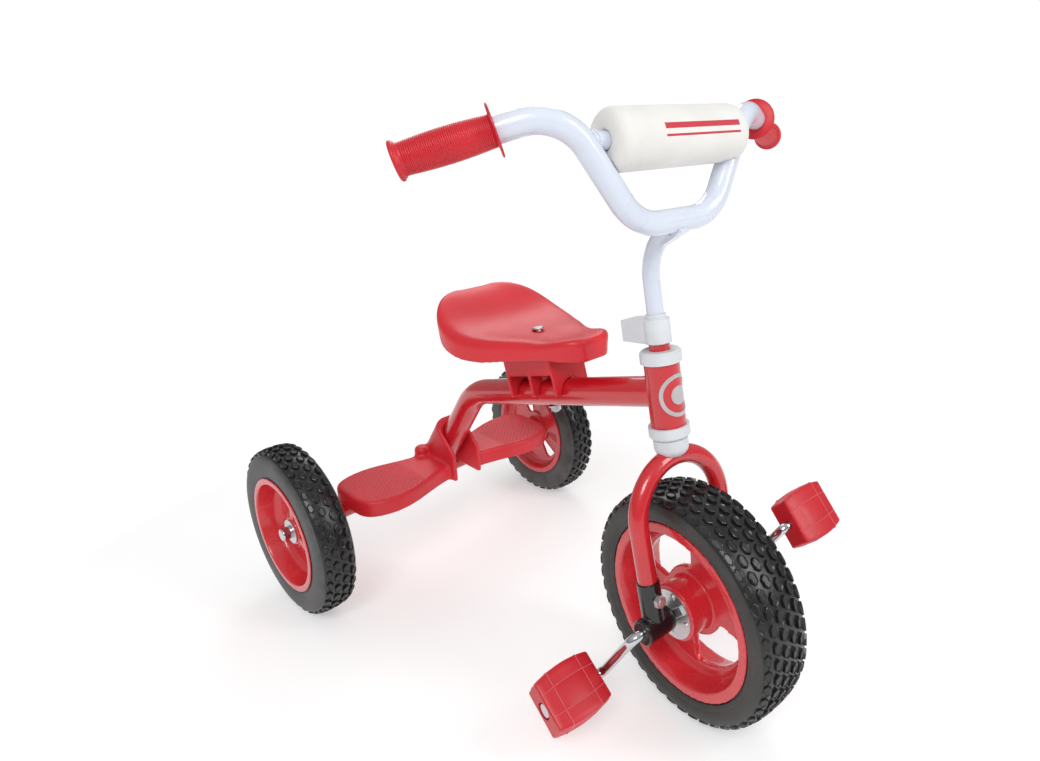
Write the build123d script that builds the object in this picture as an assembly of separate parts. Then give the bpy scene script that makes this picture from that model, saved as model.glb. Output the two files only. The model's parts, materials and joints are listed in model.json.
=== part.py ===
from build123d import *
import math
import os

os.makedirs("parts", exist_ok=True)

# Child's pedal tricycle. Lengths are millimetres and angles are degrees.
# X runs forward, Y to the rider's left and Z up. The origin is on the floor,
# under the middle of the outline.

# Stance
front_tyre_radius = 127.0
front_tyre_width = 66.0
rear_tyre_radius = 108.5
rear_tyre_width = 43.5
wheelbase = 476.0
rear_track = 390.0
head_angle = 9.0          # steering axis leans back from the vertical
fork_offset = 8.0         # front axle ahead of the steering axis
steer_rest = -7.2         # the bars rest turned a little to the right
crank_rest = -132.0       # right crank, from forward towards up

# Fits
running_gap = 0.08        # shaft in its bearing, on the radius
body_gap = 0.4            # between pieces that move past each other
seat_gap = 0.05           # between pieces that are fixed together

# Head and steering column, as heights along the steering axis over the axle
head_tube_radius = 18.0
head_tube_wall = 2.0
head_tube_above_crown = 27.0
head_tube_length = 79.0
bush_radius = 21.0
bush_flange = 5.0
bush_skirt = 7.0
bush_spigot = 14.0
bush_round = 2.0
head_badge_radius = 22.0
head_badge_depth = 0.4
steerer_radius = 10.5
steerer_wall = 1.8
steerer_above_head = 25.0
crown_cover_radius = 17.8
crown_cover_drop = 20.0
crown_cover_round = 10.0

# Fork
fork_tube_radius = 10.0
fork_tube_wall = 1.6
fork_half_width = 56.0
crown_clearance = 31.0     # tyre crown to the fork tube's middle line
fork_leg_end = 48.0
fork_end_barrel_radius = 13.2
fork_end_barrel_length = 36.0
fork_end_post_radius = 11.6
fork_end_spigot_length = 26.0
fork_end_bolt_height = 30.0
fork_end_bolt_radius = 3.0
fork_end_dome_radius = 6.8
fork_end_nut_flats = 11.0
fork_end_nut_height = 5.0

# Clamp on top of the column
clamp_band = 1.3
clamp_height = 17.0
clamp_ear_height = 13.0
clamp_ear_reach = 35.0
clamp_ear_thickness = 1.6
clamp_ear_gap = 3.0
clamp_bolt_radius = 2.5
clamp_bolt_reach = 27.0
clamp_bolt_flats = 8.0
clamp_bolt_head = 3.2
clamp_nut_height = 4.0
clamp_bolt_tail = 5.0
clamp_lift = 0.8          # the band stands this far above the cover's bottom
cover_lift = 7.0          # the cover's bottom above the upper bush
cover_wall = 1.2
cover_height = 24.0
cover_reach = 43.0
cover_half_width = 11.8
cover_end_drop = 2.5
cover_neck_height = 5.0
cover_neck_wall = 1.8

# Stem and handlebar, in the steering frame
stem_radius = 8.6
stem_wall = 1.6
stem_insert = 22.0
stem_bend_lift = 100.0      # these lifts are above the top of the head tube
stem_bend_radius = 50.0
bar_radius = 11.1
bar_wall = 1.5
bar_reach = 43.0
bar_low_lift = 129.0
bar_low_half_width = 46.0
bar_low_bend = 46.0
bar_high_lift = 227.0
bar_high_half_width = 106.0
bar_high_bend = 46.0
bar_sweep_back = 30.0
bar_sweep_down = 11.5
gusset_thickness = 9.0
gusset_leg = 28.0
gusset_toe = 4.0
grip_start = 53.0         # along the swept arm, from the upper corner
grip_length = 78.0
grip_end_radius = 12.7
grip_belly_radius = 14.2
grip_flange_radius = 21.0
grip_flange_thickness = 1.8
grip_lip_radius = 15.6
grip_lip_thickness = 3.0
grip_cap = 3.0
crossbar_radius = 8.0
crossbar_wall = 1.2
crossbar_lift = 202.0
pad_radius = 27.0
pad_right_end = 69.0
pad_left_end = 86.0
pad_edge_round = 11.0

# Front wheel, about its own axle
rim_seat_depth = 38.0     # tyre crown to tyre seat
rim_lip_depth = 30.6      # tyre crown to rim lip
rim_lip_thickness = 2.5
rim_half_width = 29.5
rim_web = 7.0
rim_web_inset = 14.0      # the web ends this far inside the tyre seat
rim_bowl_inset = 9.0
rim_wall_inset = 5.0
rim_mouth_inset = 3.0
rim_window_margin = 8.0
rim_window_angle = 74.0
rim_window_count = 2
rim_window_turn = -60.0
hub_radius = 30.0
hub_half_length = 32.0
hub_plate_radius = 26.5
hub_plate_thickness = 1.5
hub_screw_circle = 21.0
hub_screw_count = 4
hub_screw_radius = 1.9
hub_screw_head = 3.5
hub_screw_head_height = 1.6
hub_screw_length = 12.0
drive_channel_length = 46.0
drive_channel_width = 9.5
drive_channel_height = 3.4
drive_channel_angle = 162.0
drive_channel_wall = 1.5
drive_lug_length = 26.0
drive_lug_thickness = 1.6
tyre_shoulder = 19.0

# Crank and pedals
crank_rod_radius = 5.2
crank_radius = 70.0
crank_arm_splay = 20.0
crank_bend = 10.0
pedal_length = 62.0
pedal_width = 57.0
pedal_end_width = 49.0
pedal_height = 32.0
pedal_end_height = 26.0
pedal_start = 10.0
pedal_corner = 2.5
pedal_barrel = 2.0        # how much narrower the quarter points are than the middle
pedal_recess = 9.0
pedal_push_nut_radius = 8.0
pedal_push_nut_depth = 5.0
pedal_tilt_right = -42.0  # top face, nose down from level
pedal_tilt_left = -56.0

# Backbone, in the plane of symmetry
backbone_radius = 15.9
backbone_wall = 1.8
backbone_above_head_bottom = 41.0
backbone_slope = 15.2
backbone_corner_ahead = 114.0
backbone_corner_bend = 78.0

# Rear axle and wheels
axle_radius = 5.0
axle_tube_radius = 11.0
axle_tube_wall = 2.0
axle_washer_thickness = 1.4
axle_washer_radius = 15.5
axle_nut_radius = 8.0
axle_nut_height = 11.0
rear_rim_seat_depth = 39.0
rear_rim_lip_depth = 34.5
rear_rim_half_width = 22.0
rear_rim_lip_thickness = 2.0
rear_web_outer = 4.0      # the web's two faces, inboard of the wheel's middle
rear_web_inner = 8.0
rear_window_margin = 9.0
rear_window_angle = 62.0
rear_bush_length = 9.0
rear_hub_radius = 18.0
rear_hub_outer = 9.0
rear_hub_inner = 20.0
rear_bush_radius = 9.0
rear_tyre_shoulder = 12.0

# Step deck
deck_top = 150.0
deck_thickness = 22.0
deck_half_width = 149.0
deck_front = 92.0
deck_back = -8.0
deck_edge_round = 5.0
deck_wall = 4.0
deck_boss_radius = 10.0   # a knob on each plate beside the collar
deck_boss_height = 12.0
deck_boss_ahead = 14.0
deck_boss_out = 27.0
collar_half_width = 22.0
collar_back = 26.0        # behind the middle line of the backbone
collar_top = 103.0        # along the lower backbone, from the axle
collar_round = 16.0
collar_bottom = 127.0
lip_reach = 82.0          # the collar's front lips, ahead of the rear axle
lip_top = 165.0
deck_screw_radius = 2.0
deck_screw_head = 4.2
deck_screw_head_height = 2.2
deck_screw_bite = 6.0
deck_screw_heights = (34.0, 54.0)
deck_screw_sink = 3.0

# Seat
seat_back = 126.0         # ahead of the rear axle
seat_length = 211.0
seat_half_width = 80.0
seat_rise = 68.88          # a level through the skirt, above the tube at the bolt
# back to nose: share of the length, share of the half width, then the rim,
# the middle of the dish and the bottom of the skirt above or below that level
seat_outline = [(0.00, 0.42, 32, 32, 12), (0.05, 0.68, 31, 30, 0), (0.16, 0.93, 20, 19, -14),
                (0.29, 1.00, 8, 6, -22), (0.44, 0.92, 3, 1, -25), (0.56, 0.78, 3, 1, -22),
                (0.68, 0.62, 4, 2, -18), (0.80, 0.50, 6, 4, -14), (0.91, 0.42, 12, 10, -12),
                (0.97, 0.31, 13, 12, -12), (1.00, 0.18, 8, 8, -13)]
seat_shoulder = 11.0      # how far the skirt starts below the rim
seat_wall = 3.2
seat_bolt_place = 264.0   # ahead of the rear axle, under the tube
seat_bolt_radius = 3.2
seat_bolt_head = 7.0
seat_bolt_head_height = 2.4
seat_bolt_tail = 3.0
seat_bolt_clearance = 0.3
seat_washer_radius = 8.0
seat_washer_thickness = 1.4
seat_nut_height = 5.2
seat_nut_flats = 10.0
seat_mount_length = 84.0
seat_mount_half_width = 25.0
seat_mount_wall = 4.0
seat_mount_boss_wall = 5.0
seat_mount_floor = 9.0    # the side walls start this far above the tube
seat_mount_blank = 80.0   # trimmed by the seat skin
seat_mount_shift = -4.0

# Worked out from the sizes above
crown_height = front_tyre_radius + crown_clearance
head_tube_bottom = crown_height + head_tube_above_crown
backbone_head_height = head_tube_bottom + backbone_above_head_bottom
rear_axle_x = -(wheelbase + front_tyre_radius - rear_tyre_radius) / 2
front_axle_x = rear_axle_x + wheelbase
rear_axle = Vector(rear_axle_x, 0, rear_tyre_radius)
lean = math.radians(head_angle)
axis_up = Vector(-math.sin(lean), 0, math.cos(lean))
axis_forward = Vector(math.cos(lean), 0, math.sin(lean))
axis_foot = Vector(front_axle_x, 0, front_tyre_radius) - axis_forward * fork_offset
head_frame = Plane(origin=axis_foot, x_dir=axis_forward, z_dir=axis_up).location
steering = head_frame * Location((0, 0, 0), (0, 0, steer_rest))
rake = math.degrees(math.atan2(fork_offset, crown_height))
fork_frame = steering * Location((fork_offset, 0, 0), (0, -rake, 0))
head_tube_top = head_tube_bottom + head_tube_length
stem_bend_height = head_tube_top + stem_bend_lift
bar_low_height = head_tube_top + bar_low_lift
bar_high_height = head_tube_top + bar_high_lift
crossbar_height = head_tube_top + crossbar_lift
steerer_top = head_tube_top + bush_flange + steerer_above_head
cover_bottom = head_tube_top + bush_flange + cover_lift
crank_spindle_start = (fork_half_width + fork_end_barrel_length / 2
                       + crank_arm_splay)
crank_frame = fork_frame * Location((0, 0, 0), (0, rake - crank_rest, 0))
slope = math.radians(backbone_slope)
tube_top = axis_foot + axis_up * backbone_head_height
seat_bolt_x = rear_axle_x + seat_bolt_place
seat_height = tube_top.Z - (tube_top.X - seat_bolt_x) * math.tan(slope) + seat_rise


def rod(path, radius):
    section = Plane(origin=path @ 0, z_dir=path % 0) * Circle(radius)
    return sweep(section, path=path)


def pipe(path, radius, wall):
    return rod(path, radius) - rod(path, radius - wall)


def turned(points):
    # a solid of revolution about Y, from (radius, y) corners
    outline = make_face(Polyline(*[(r, y) for r, y in points], close=True))
    return revolve(outline, axis=Axis.Y)


def turned_z(points):
    # a solid of revolution about Z, from (radius, z) corners
    outline = make_face(Plane.XZ * Polyline(*[(r, z) for r, z in points], close=True))
    return revolve(outline, axis=Axis.Z)


def along_y(radius, start, end):
    blank = Cylinder(radius, end - start)
    return Location((0, (start + end) / 2, 0), (90, 0, 0)) * blank


def hexagon(across_flats, height):
    outline = RegularPolygon(across_flats / 2, 6, major_radius=False)
    return extrude(outline, height)


def mirrored(shape):
    return mirror(shape, about=Plane.XZ)


def backbone_path():
    corner_x = rear_axle_x + backbone_corner_ahead
    corner = Vector(corner_x, 0, tube_top.Z - (tube_top.X - corner_x) * math.tan(slope))
    points = [tube_top, corner, rear_axle]
    return FilletPolyline(*points, radius=backbone_corner_bend)


def lower_tube_direction():
    path = backbone_path()
    return (path @ 0.999 - rear_axle).normalized()


def tube_frame(ahead):
    # a place on the underside line of the main tube, Z square to the tube
    x = rear_axle_x + ahead
    z = tube_top.Z - (tube_top.X - x) * math.tan(slope)
    along = Vector(math.cos(slope), 0, math.sin(slope))
    square = Vector(-math.sin(slope), 0, math.cos(slope))
    return Plane(origin=(x, 0, z), x_dir=along, z_dir=square).location


def head_tube():
    blank = Cylinder(head_tube_radius, head_tube_length)
    blank -= Cylinder(head_tube_radius - head_tube_wall, head_tube_length)
    middle = head_tube_bottom + head_tube_length / 2
    return head_frame * Location((0, 0, middle)) * blank


def head_blank(radius):
    middle = head_tube_bottom + head_tube_length / 2
    return head_frame * Location((0, 0, middle)) * Cylinder(radius, head_tube_length)


def axle_tube_half_length():
    hub_face = rear_track / 2 - rear_hub_inner
    return hub_face - axle_washer_thickness - 2 * body_gap


def axle_blank(radius):
    half = axle_tube_half_length()
    return Location(rear_axle) * along_y(radius, -half, half)


def backbone_tube():
    path = backbone_path()
    tube = pipe(path, backbone_radius, backbone_wall)
    tube -= head_blank(head_tube_radius + seat_gap)
    tube -= axle_blank(axle_tube_radius + seat_gap)
    bolt_hole = Cylinder(seat_bolt_radius + seat_bolt_clearance, 4 * backbone_radius)
    tube -= tube_frame(seat_bolt_place) * bolt_hole
    for height in deck_screw_heights:
        pilot = Location((0, 0, -backbone_radius / 2)) * Cylinder(
            deck_screw_radius, backbone_radius)
        tube -= deck_screw_place(height) * pilot
    return max(tube.solids(), key=lambda s: s.volume)


def axle_tube():
    half = axle_tube_half_length()
    tube = along_y(axle_tube_radius, -half, half)
    tube -= along_y(axle_tube_radius - axle_tube_wall, -half, half)
    return Location(rear_axle) * tube


def head_bush(flip):
    # a flanged bush with a skirt outside the tube and a spigot inside it
    bore = steerer_radius + running_gap
    inner = head_tube_radius - head_tube_wall - seat_gap
    outer = head_tube_radius + seat_gap
    points = [(bore, -bush_spigot), (inner, -bush_spigot), (inner, 0), (outer, 0),
              (outer, -bush_skirt), (bush_radius, -bush_skirt),
              (bush_radius, bush_flange - bush_round),
              (bush_radius - bush_round, bush_flange), (bore, bush_flange)]
    bush = turned_z(points)
    if flip:
        return head_frame * Location((0, 0, head_tube_bottom), (180, 0, 0)) * bush
    return head_frame * Location((0, 0, head_tube_top)) * bush


def head_badge():
    # a plain round badge bent to the front of the head tube
    tall = 3 * head_badge_radius
    ring = Cylinder(head_tube_radius + seat_gap + head_badge_depth, tall)
    ring -= Cylinder(head_tube_radius + seat_gap, tall)
    front = Location((head_tube_radius, 0, 0)) * Box(2 * head_tube_radius, tall, tall)
    disc = Location((head_tube_radius, 0, 0), (0, 90, 0)) * Cylinder(head_badge_radius, tall)
    middle = head_tube_bottom + head_tube_length / 2
    return head_frame * Location((0, 0, middle)) * (ring & disc & front)


def deck_outline(inset):
    # one foot plate: a rounded lobe that narrows towards the middle
    inner = backbone_radius
    middle = (inner + deck_half_width) / 2
    back = deck_back + inset
    front = deck_front - inset
    end = deck_half_width - inset
    edge = Spline(
        (back + 18, inner), (back + 13, middle - 26), (back, middle + 24), (back + 12, end - 5),
        ((back + front) / 2, end), (front - 16, end - 6), (front, middle + 26),
        (front - 9, middle - 20), (front - 20, inner))
    return make_face(edge + Line((front - 20, inner), (back + 18, inner)))


def deck_plate():
    plate = extrude(deck_outline(0), -deck_thickness)
    rim = plate.faces().sort_by(Axis.Z)[-1].edges().sort_by(Axis.Y)[1:]
    plate = fillet(rim, deck_edge_round)
    hollow = extrude(deck_outline(deck_wall), deck_wall - deck_thickness)
    plate -= Location((0, 0, -deck_wall)) * hollow
    boss = extrude(Circle(deck_boss_radius), deck_boss_height + deck_wall)
    boss = fillet(boss.edges().sort_by(Axis.Z)[-1], deck_boss_radius / 2)
    plate += Location((deck_boss_ahead, deck_boss_out, -deck_wall)) * boss
    return Location((rear_axle_x, 0, deck_top)) * plate


def lower_tube_frame(height):
    # a place on the lower backbone, Z up the tube and X square to it, forwards
    up = lower_tube_direction()
    ahead = Vector(up.Z, 0, -up.X)
    return Plane(origin=rear_axle + up * height, x_dir=ahead, z_dir=up).location


def deck_collar():
    # a trough round the backbone: round behind, with two lips standing out in front
    crest = lower_tube_frame(collar_top) * Location((-collar_back, 0, 0))
    up = lower_tube_direction()
    heel = crest.position + up * (collar_bottom - crest.position.Z) * (1 / up.Z)
    front = rear_axle_x + lip_reach
    corners = [(crest.position.X, crest.position.Z), (heel.X, collar_bottom),
               (front, collar_bottom), (front, lip_top)]
    profile = Plane.XZ * make_face(Polyline(*corners, close=True))
    block = extrude(profile, collar_half_width, both=True)
    spine = [e for e in block.edges() if abs((e @ 1 - e @ 0).Y) < 1 and
             (e @ 0.5).X < rear_axle_x + lip_reach / 2 and (e @ 0.5).Z > collar_bottom + 5]
    block = fillet(spine, collar_round)
    trough = Box(200, 2 * backbone_radius + 4 * seat_gap, 400)
    trough = lower_tube_frame(0) * Location((100, 0, 0)) * trough
    return block - trough


def step_deck():
    deck = deck_plate() + mirrored(deck_plate()) + deck_collar()
    deck -= rod(backbone_path(), backbone_radius + 2 * seat_gap)
    deck -= axle_blank(axle_tube_radius + 2 * seat_gap)
    deck -= Location(rear_axle) * Location((0, 0, -30)) * Box(
        2 * (axle_tube_radius + 2 * seat_gap), 2 * deck_half_width, 60)
    for height in deck_screw_heights:
        deck -= deck_screw_place(height) * Cylinder(deck_screw_radius + 0.2, 30)
        deck -= deck_screw_place(height) * extrude(Circle(deck_screw_head + 0.4), 20)
    return max(deck.solids(), key=lambda s: s.volume)


def deck_screw_place(height):
    # on the back of the collar, Z pointing out and back
    out = lower_tube_frame(height) * Location((deck_screw_sink - collar_back, 0, 0))
    return out * Location((0, 0, 0), (0, -90, 0))


def seat_sections(inset, drop):
    # cross sections of the seat from back to nose, each (x, half width, rim, dish)
    sections = []
    for share, wide, rim, dish, skirt in seat_outline:
        x = seat_back + inset + share * (seat_length - 2 * inset)
        half = wide * seat_half_width - inset
        rim += seat_height
        dish += seat_height
        low = seat_height + skirt - drop
        edge = rim - inset - min(seat_shoulder, (rim - seat_height - skirt) / 2)
        curve = [(half * 0.45, (rim + 2 * dish) / 3 - inset), (half * 0.8, rim - inset),
                 (half * 0.93, rim - inset - 1.5), (half, edge)]
        mirror_curve = [(-y, z) for y, z in reversed(curve)]
        top = Spline(*mirror_curve, (0, dish - inset), *curve)
        sides = Polyline((half, edge), (half * 0.97, low), (-half * 0.97, low), (-half, edge))
        place = Plane(origin=(rear_axle_x + x, 0, 0), x_dir=(0, 1, 0), z_dir=(1, 0, 0))
        sections.append(place * make_face(top + sides))
    return sections


def seat_shell():
    shell = loft(seat_sections(0, 0)) - loft(seat_sections(seat_wall, 40))
    hole = Cylinder(seat_bolt_radius + seat_bolt_clearance, 3 * seat_mount_blank)
    shell -= tube_frame(seat_bolt_place) * hole
    return max(shell.solids(), key=lambda s: s.volume)


def fork_path():
    arch_centre = crown_height - fork_half_width
    leg_right = Line((0, -fork_half_width, fork_leg_end), (0, -fork_half_width, arch_centre))
    arch = ThreePointArc((0, -fork_half_width, arch_centre), (0, 0, crown_height),
                         (0, fork_half_width, arch_centre))
    leg_left = Line((0, fork_half_width, arch_centre), (0, fork_half_width, fork_leg_end))
    return Wire([leg_right, arch, leg_left])


def fork_arch():
    return fork_frame * pipe(fork_path(), fork_tube_radius, fork_tube_wall)


def fork_blank(extra):
    return fork_frame * rod(fork_path(), fork_tube_radius + extra)


def column(radius, low, high):
    blank = Cylinder(radius, high - low)
    return steering * Location((0, 0, (low + high) / 2)) * blank


def steerer_tube():
    tube = column(steerer_radius, crown_height, steerer_top)
    tube -= column(steerer_radius - steerer_wall, crown_height, steerer_top)
    tube -= fork_blank(seat_gap)
    return max(tube.solids(), key=lambda s: s.volume)


def crown_cover():
    top = head_tube_bottom - bush_flange - body_gap
    cover = Cylinder(crown_cover_radius, crown_cover_drop)
    cover = chamfer(cover.edges().sort_by(Axis.Z)[-1], 1.5)
    cover = fillet(cover.edges().sort_by(Axis.Z)[0], crown_cover_round)
    cover = steering * Location((0, 0, top - crown_cover_drop / 2)) * cover
    cover -= column(steerer_radius + seat_gap, crown_height - 40, top + 10)
    cover -= fork_blank(seat_gap)
    return max(cover.solids(), key=lambda s: s.volume)


def steerer_clamp():
    low = cover_bottom + clamp_lift
    inner = steerer_radius + seat_gap
    band = Cylinder(inner + clamp_band, clamp_height)
    ear_middle = -(inner + clamp_ear_reach) / 2
    ear_offset = (clamp_ear_gap + clamp_ear_thickness) / 2
    ear_lift = (clamp_ear_height - clamp_height) / 2
    for side in (-1, 1):
        ear = Box(clamp_ear_reach - inner, clamp_ear_thickness, clamp_ear_height)
        ear = fillet(ear.edges().filter_by(Axis.Y).group_by(Axis.X)[0], 4)
        band += Location((ear_middle, side * ear_offset, ear_lift)) * ear
    band -= Cylinder(inner, clamp_height)
    band -= Location((-inner, 0, 0)) * Box(6, clamp_ear_gap, clamp_height)
    band -= Location((-clamp_bolt_reach, 0, ear_lift), (90, 0, 0)) * Cylinder(clamp_bolt_radius + 0.1, 40)
    return steering * Location((0, 0, low + clamp_height / 2)) * band


def clamp_bolt_frame():
    middle = cover_bottom + clamp_lift + clamp_ear_height / 2
    return steering * Location((-clamp_bolt_reach, 0, middle), (90, 0, 0))


def clamp_outer_face():
    return clamp_ear_gap / 2 + clamp_ear_thickness


def clamp_bolt():
    face = clamp_outer_face() + seat_gap
    head = Location((0, 0, face)) * hexagon(clamp_bolt_flats, clamp_bolt_head)
    reach = 2 * face + clamp_bolt_tail
    shank = Location((0, 0, face - reach)) * extrude(Circle(clamp_bolt_radius), reach)
    return clamp_bolt_frame() * (head + shank)


def clamp_nut():
    face = clamp_outer_face() + seat_gap
    nut = hexagon(clamp_bolt_flats, clamp_nut_height) - Cylinder(clamp_bolt_radius + seat_gap, 20)
    return clamp_bolt_frame() * Location((0, 0, -face - clamp_nut_height)) * nut


def cover_body(inset):
    # a round front with a long lobe behind, the lobe's top falling backwards
    front = Cylinder(cover_outer_radius() - inset, cover_height)
    lobe = Box(cover_reach - inset, 2 * (cover_half_width - inset), cover_height)
    lobe = fillet(lobe.edges().filter_by(Axis.Z).group_by(Axis.X)[0], 3.0)
    body = front + Location((-(cover_reach - inset) / 2, 0, 0)) * lobe
    fall = math.degrees(math.atan2(cover_end_drop, cover_reach - cover_outer_radius()))
    wedge = Location((0, 0, 20)) * Box(2 * cover_reach, 60, 40)
    hinge = Location((-cover_outer_radius(), 0, cover_height / 2 - inset))
    return body - hinge * Location((0, 0, 0), (0, -fall, 0)) * Location((-cover_reach, 0, 0)) * wedge


def cover_outer_radius():
    return steerer_radius + seat_gap + clamp_band + seat_gap + cover_wall


def clamp_cover():
    middle = cover_bottom + cover_height / 2
    cover = cover_body(0)
    neck = Cylinder(stem_radius + cover_neck_wall, cover_neck_height)
    neck = chamfer(neck.edges().sort_by(Axis.Z)[-1], 0.8)
    cover += Location((0, 0, (cover_height + cover_neck_height) / 2)) * neck
    cover -= Location((0, 0, -cover_wall)) * cover_body(cover_wall)
    cover -= Cylinder(stem_radius + seat_gap, 100)
    return steering * Location((0, 0, middle)) * cover


def stem_path():
    points = [(0, 0, steerer_top - stem_insert), (0, 0, stem_bend_height),
              (bar_reach, 0, bar_low_height)]
    return FilletPolyline(*points, radius=stem_bend_radius)


def stem_tube():
    tube = pipe(stem_path(), stem_radius, stem_wall)
    tube -= rod(bar_path(), bar_radius + seat_gap)
    return steering * max(tube.solids(), key=lambda s: s.volume)


def stem_gusset():
    # a web welded in the corner ahead of the stem, under the bar
    rise = bar_low_height - stem_bend_height
    run = math.hypot(bar_reach, rise)
    along = Vector(bar_reach / run, 0, rise / run)
    square = Vector(along.Z, 0, -along.X)
    centre = Vector(bar_reach, 0, bar_low_height)
    back = centre - along * gusset_leg
    corners = [centre, back, back + square * stem_radius,
               centre + along * gusset_toe + square * (bar_radius + gusset_toe)]
    web = extrude(make_face(Polyline(*corners, close=True)), gusset_thickness / 2, both=True)
    web -= rod(stem_path(), stem_radius + seat_gap)
    web -= rod(bar_path(), bar_radius + seat_gap)
    return steering * max(web.solids(), key=lambda s: s.volume)


def arm_direction():
    back = math.radians(bar_sweep_back)
    down = math.radians(bar_sweep_down)
    return Vector(-math.sin(back) * math.cos(down), math.cos(back) * math.cos(down),
                  -math.sin(down))


def bar_path():
    corner = Vector(bar_reach, bar_high_half_width, bar_high_height)
    tip = corner + arm_direction() * (grip_start + grip_length - grip_cap - 0.5)
    half = [Vector(bar_reach, bar_low_half_width, bar_low_height), corner, tip]
    other = [Vector(p.X, -p.Y, p.Z) for p in reversed(half)]
    bends = [bar_high_bend, bar_low_bend, bar_low_bend, bar_high_bend]
    return FilletPolyline(*other, *half, radius=bends)


def handlebar():
    return steering * pipe(bar_path(), bar_radius, bar_wall)


def arm_half_width(height):
    share = (height - bar_low_height) / (bar_high_height - bar_low_height)
    return bar_low_half_width + share * (bar_high_half_width - bar_low_half_width)


def crossbar():
    reach = arm_half_width(crossbar_height)
    tube = along_y(crossbar_radius, -reach, reach)
    tube -= along_y(crossbar_radius - crossbar_wall, -reach, reach)
    tube = Location((bar_reach, 0, crossbar_height)) * tube
    tube -= rod(bar_path(), bar_radius + seat_gap)
    return steering * max(tube.solids(), key=lambda s: s.volume)


def crossbar_pad():
    roll = along_y(pad_radius, -pad_right_end, pad_left_end)
    roll = fillet(roll.edges().filter_by(GeomType.CIRCLE), pad_edge_round)
    roll -= along_y(crossbar_radius + 0.3, -200, 200)
    roll = Location((bar_reach, 0, crossbar_height)) * roll
    roll -= rod(bar_path(), bar_radius + body_gap)
    return steering * max(roll.solids(), key=lambda s: s.volume)


def grip():
    bore = bar_radius + seat_gap
    neck = grip_flange_thickness
    lip = grip_length - grip_lip_thickness
    belly = Spline((grip_end_radius + 0.6, neck), (grip_belly_radius, grip_length * 0.5),
                   (grip_end_radius, lip - 3))
    edge = Polyline((grip_end_radius, lip - 3), (grip_lip_radius, lip), (grip_lip_radius, grip_length),
                    (0, grip_length), (0, grip_length - grip_cap), (bore, grip_length - grip_cap),
                    (bore, 0), (grip_flange_radius, 0), (grip_flange_radius, neck),
                    (grip_end_radius + 0.6, neck))
    body = revolve(make_face(Plane.XZ * (belly + edge)), axis=Axis.Z)
    corner = Vector(bar_reach, bar_high_half_width, bar_high_height)
    start = Plane(origin=corner + arm_direction() * grip_start, z_dir=arm_direction())
    return start.location * body


def tyre(radius, half_width, shoulder, seat_radius, lip_radius, lip_inner):
    # a solid moulded tyre: round tread and walls over a square seat
    lip = lip_radius + 0.6
    wall = [(lip, half_width * 0.9), (lip + (radius - lip) * 0.36, half_width),
            (radius - shoulder * 0.47, half_width * 0.88),
            (radius - shoulder * 0.14, half_width * 0.55)]
    points = [(r, -y) for r, y in wall] + [(radius, 0)] + [(r, y) for r, y in reversed(wall)]
    seat = lip_inner - seat_gap
    edge = Polyline((lip, half_width * 0.9), (lip, seat), (seat_radius, seat),
                    (seat_radius, -seat), (lip, -seat), (lip, -half_width * 0.9))
    return revolve(make_face(Spline(*points) + edge), axis=Axis.Y)


def window_cutter(inner, outer, angle, count, start):
    # kidney-shaped openings round the hub
    wedge_points = [(0, 0)]
    for step in range(7):
        turn = math.radians(-angle / 2 + angle * step / 6)
        wedge_points.append((2 * outer * math.cos(turn), 2 * outer * math.sin(turn)))
    wedge = make_face(Polyline(*wedge_points, close=True))
    kidney = (Circle(outer) - Circle(inner)) & wedge
    kidney = fillet(kidney.vertices(), (outer - inner) * 0.24)
    cutter = None
    for step in range(count):
        turned_kidney = Location((0, 0, 0), (0, 0, start + 360 * step / count)) * kidney
        block = Location((0, 0, 0), (90, 0, 0)) * extrude(turned_kidney, 60, both=True)
        cutter = block if cutter is None else cutter + block
    return cutter


def front_tyre():
    seat = front_tyre_radius - rim_seat_depth
    lip = front_tyre_radius - rim_lip_depth
    return fork_frame * tyre(front_tyre_radius, front_tyre_width / 2, tyre_shoulder, seat, lip,
                             rim_half_width - rim_lip_thickness)


def front_rim():
    lip = front_tyre_radius - rim_lip_depth
    seat = front_tyre_radius - rim_seat_depth - seat_gap
    face = rim_half_width
    ledge = face - rim_lip_thickness
    web = rim_web / 2
    web_edge = seat - rim_web_inset
    bore = crank_rod_radius + 0.3
    half = [(bore, hub_half_length), (hub_radius, hub_half_length), (hub_radius - 1, web),
            (web_edge, web), (seat - rim_bowl_inset, face * 0.3),
            (seat - rim_wall_inset, face * 0.8), (seat - rim_mouth_inset, face),
            (lip, face), (lip, ledge), (seat, ledge)]
    points = half + [(r, -y) for r, y in reversed(half)]
    rim = turned(points)
    rim -= window_cutter(hub_radius + rim_window_margin, web_edge - 3, rim_window_angle,
                         rim_window_count, rim_window_turn)
    for side in (-1, 1):
        for place in hub_screw_places(side):
            rim -= place * Cylinder(hub_screw_radius, 2 * hub_screw_length + 4)
    return fork_frame * rim


def hub_face(side):
    # Z points out of the hub on the given side, X along the drive channel
    turn = crank_rest + drive_channel_angle + (0 if side < 0 else 180)
    return (Location((0, side * hub_half_length, 0), (90 if side < 0 else -90, 0, 0))
            * Location((0, 0, 0), (0, 0, turn if side < 0 else -turn)))


def hub_screw_places(side):
    places = []
    for step in range(hub_screw_count):
        turn = math.radians(45 + 360 * step / hub_screw_count)
        places.append(hub_face(side) * Location((hub_screw_circle * math.cos(turn),
                                                 hub_screw_circle * math.sin(turn), 0)))
    return places


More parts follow.
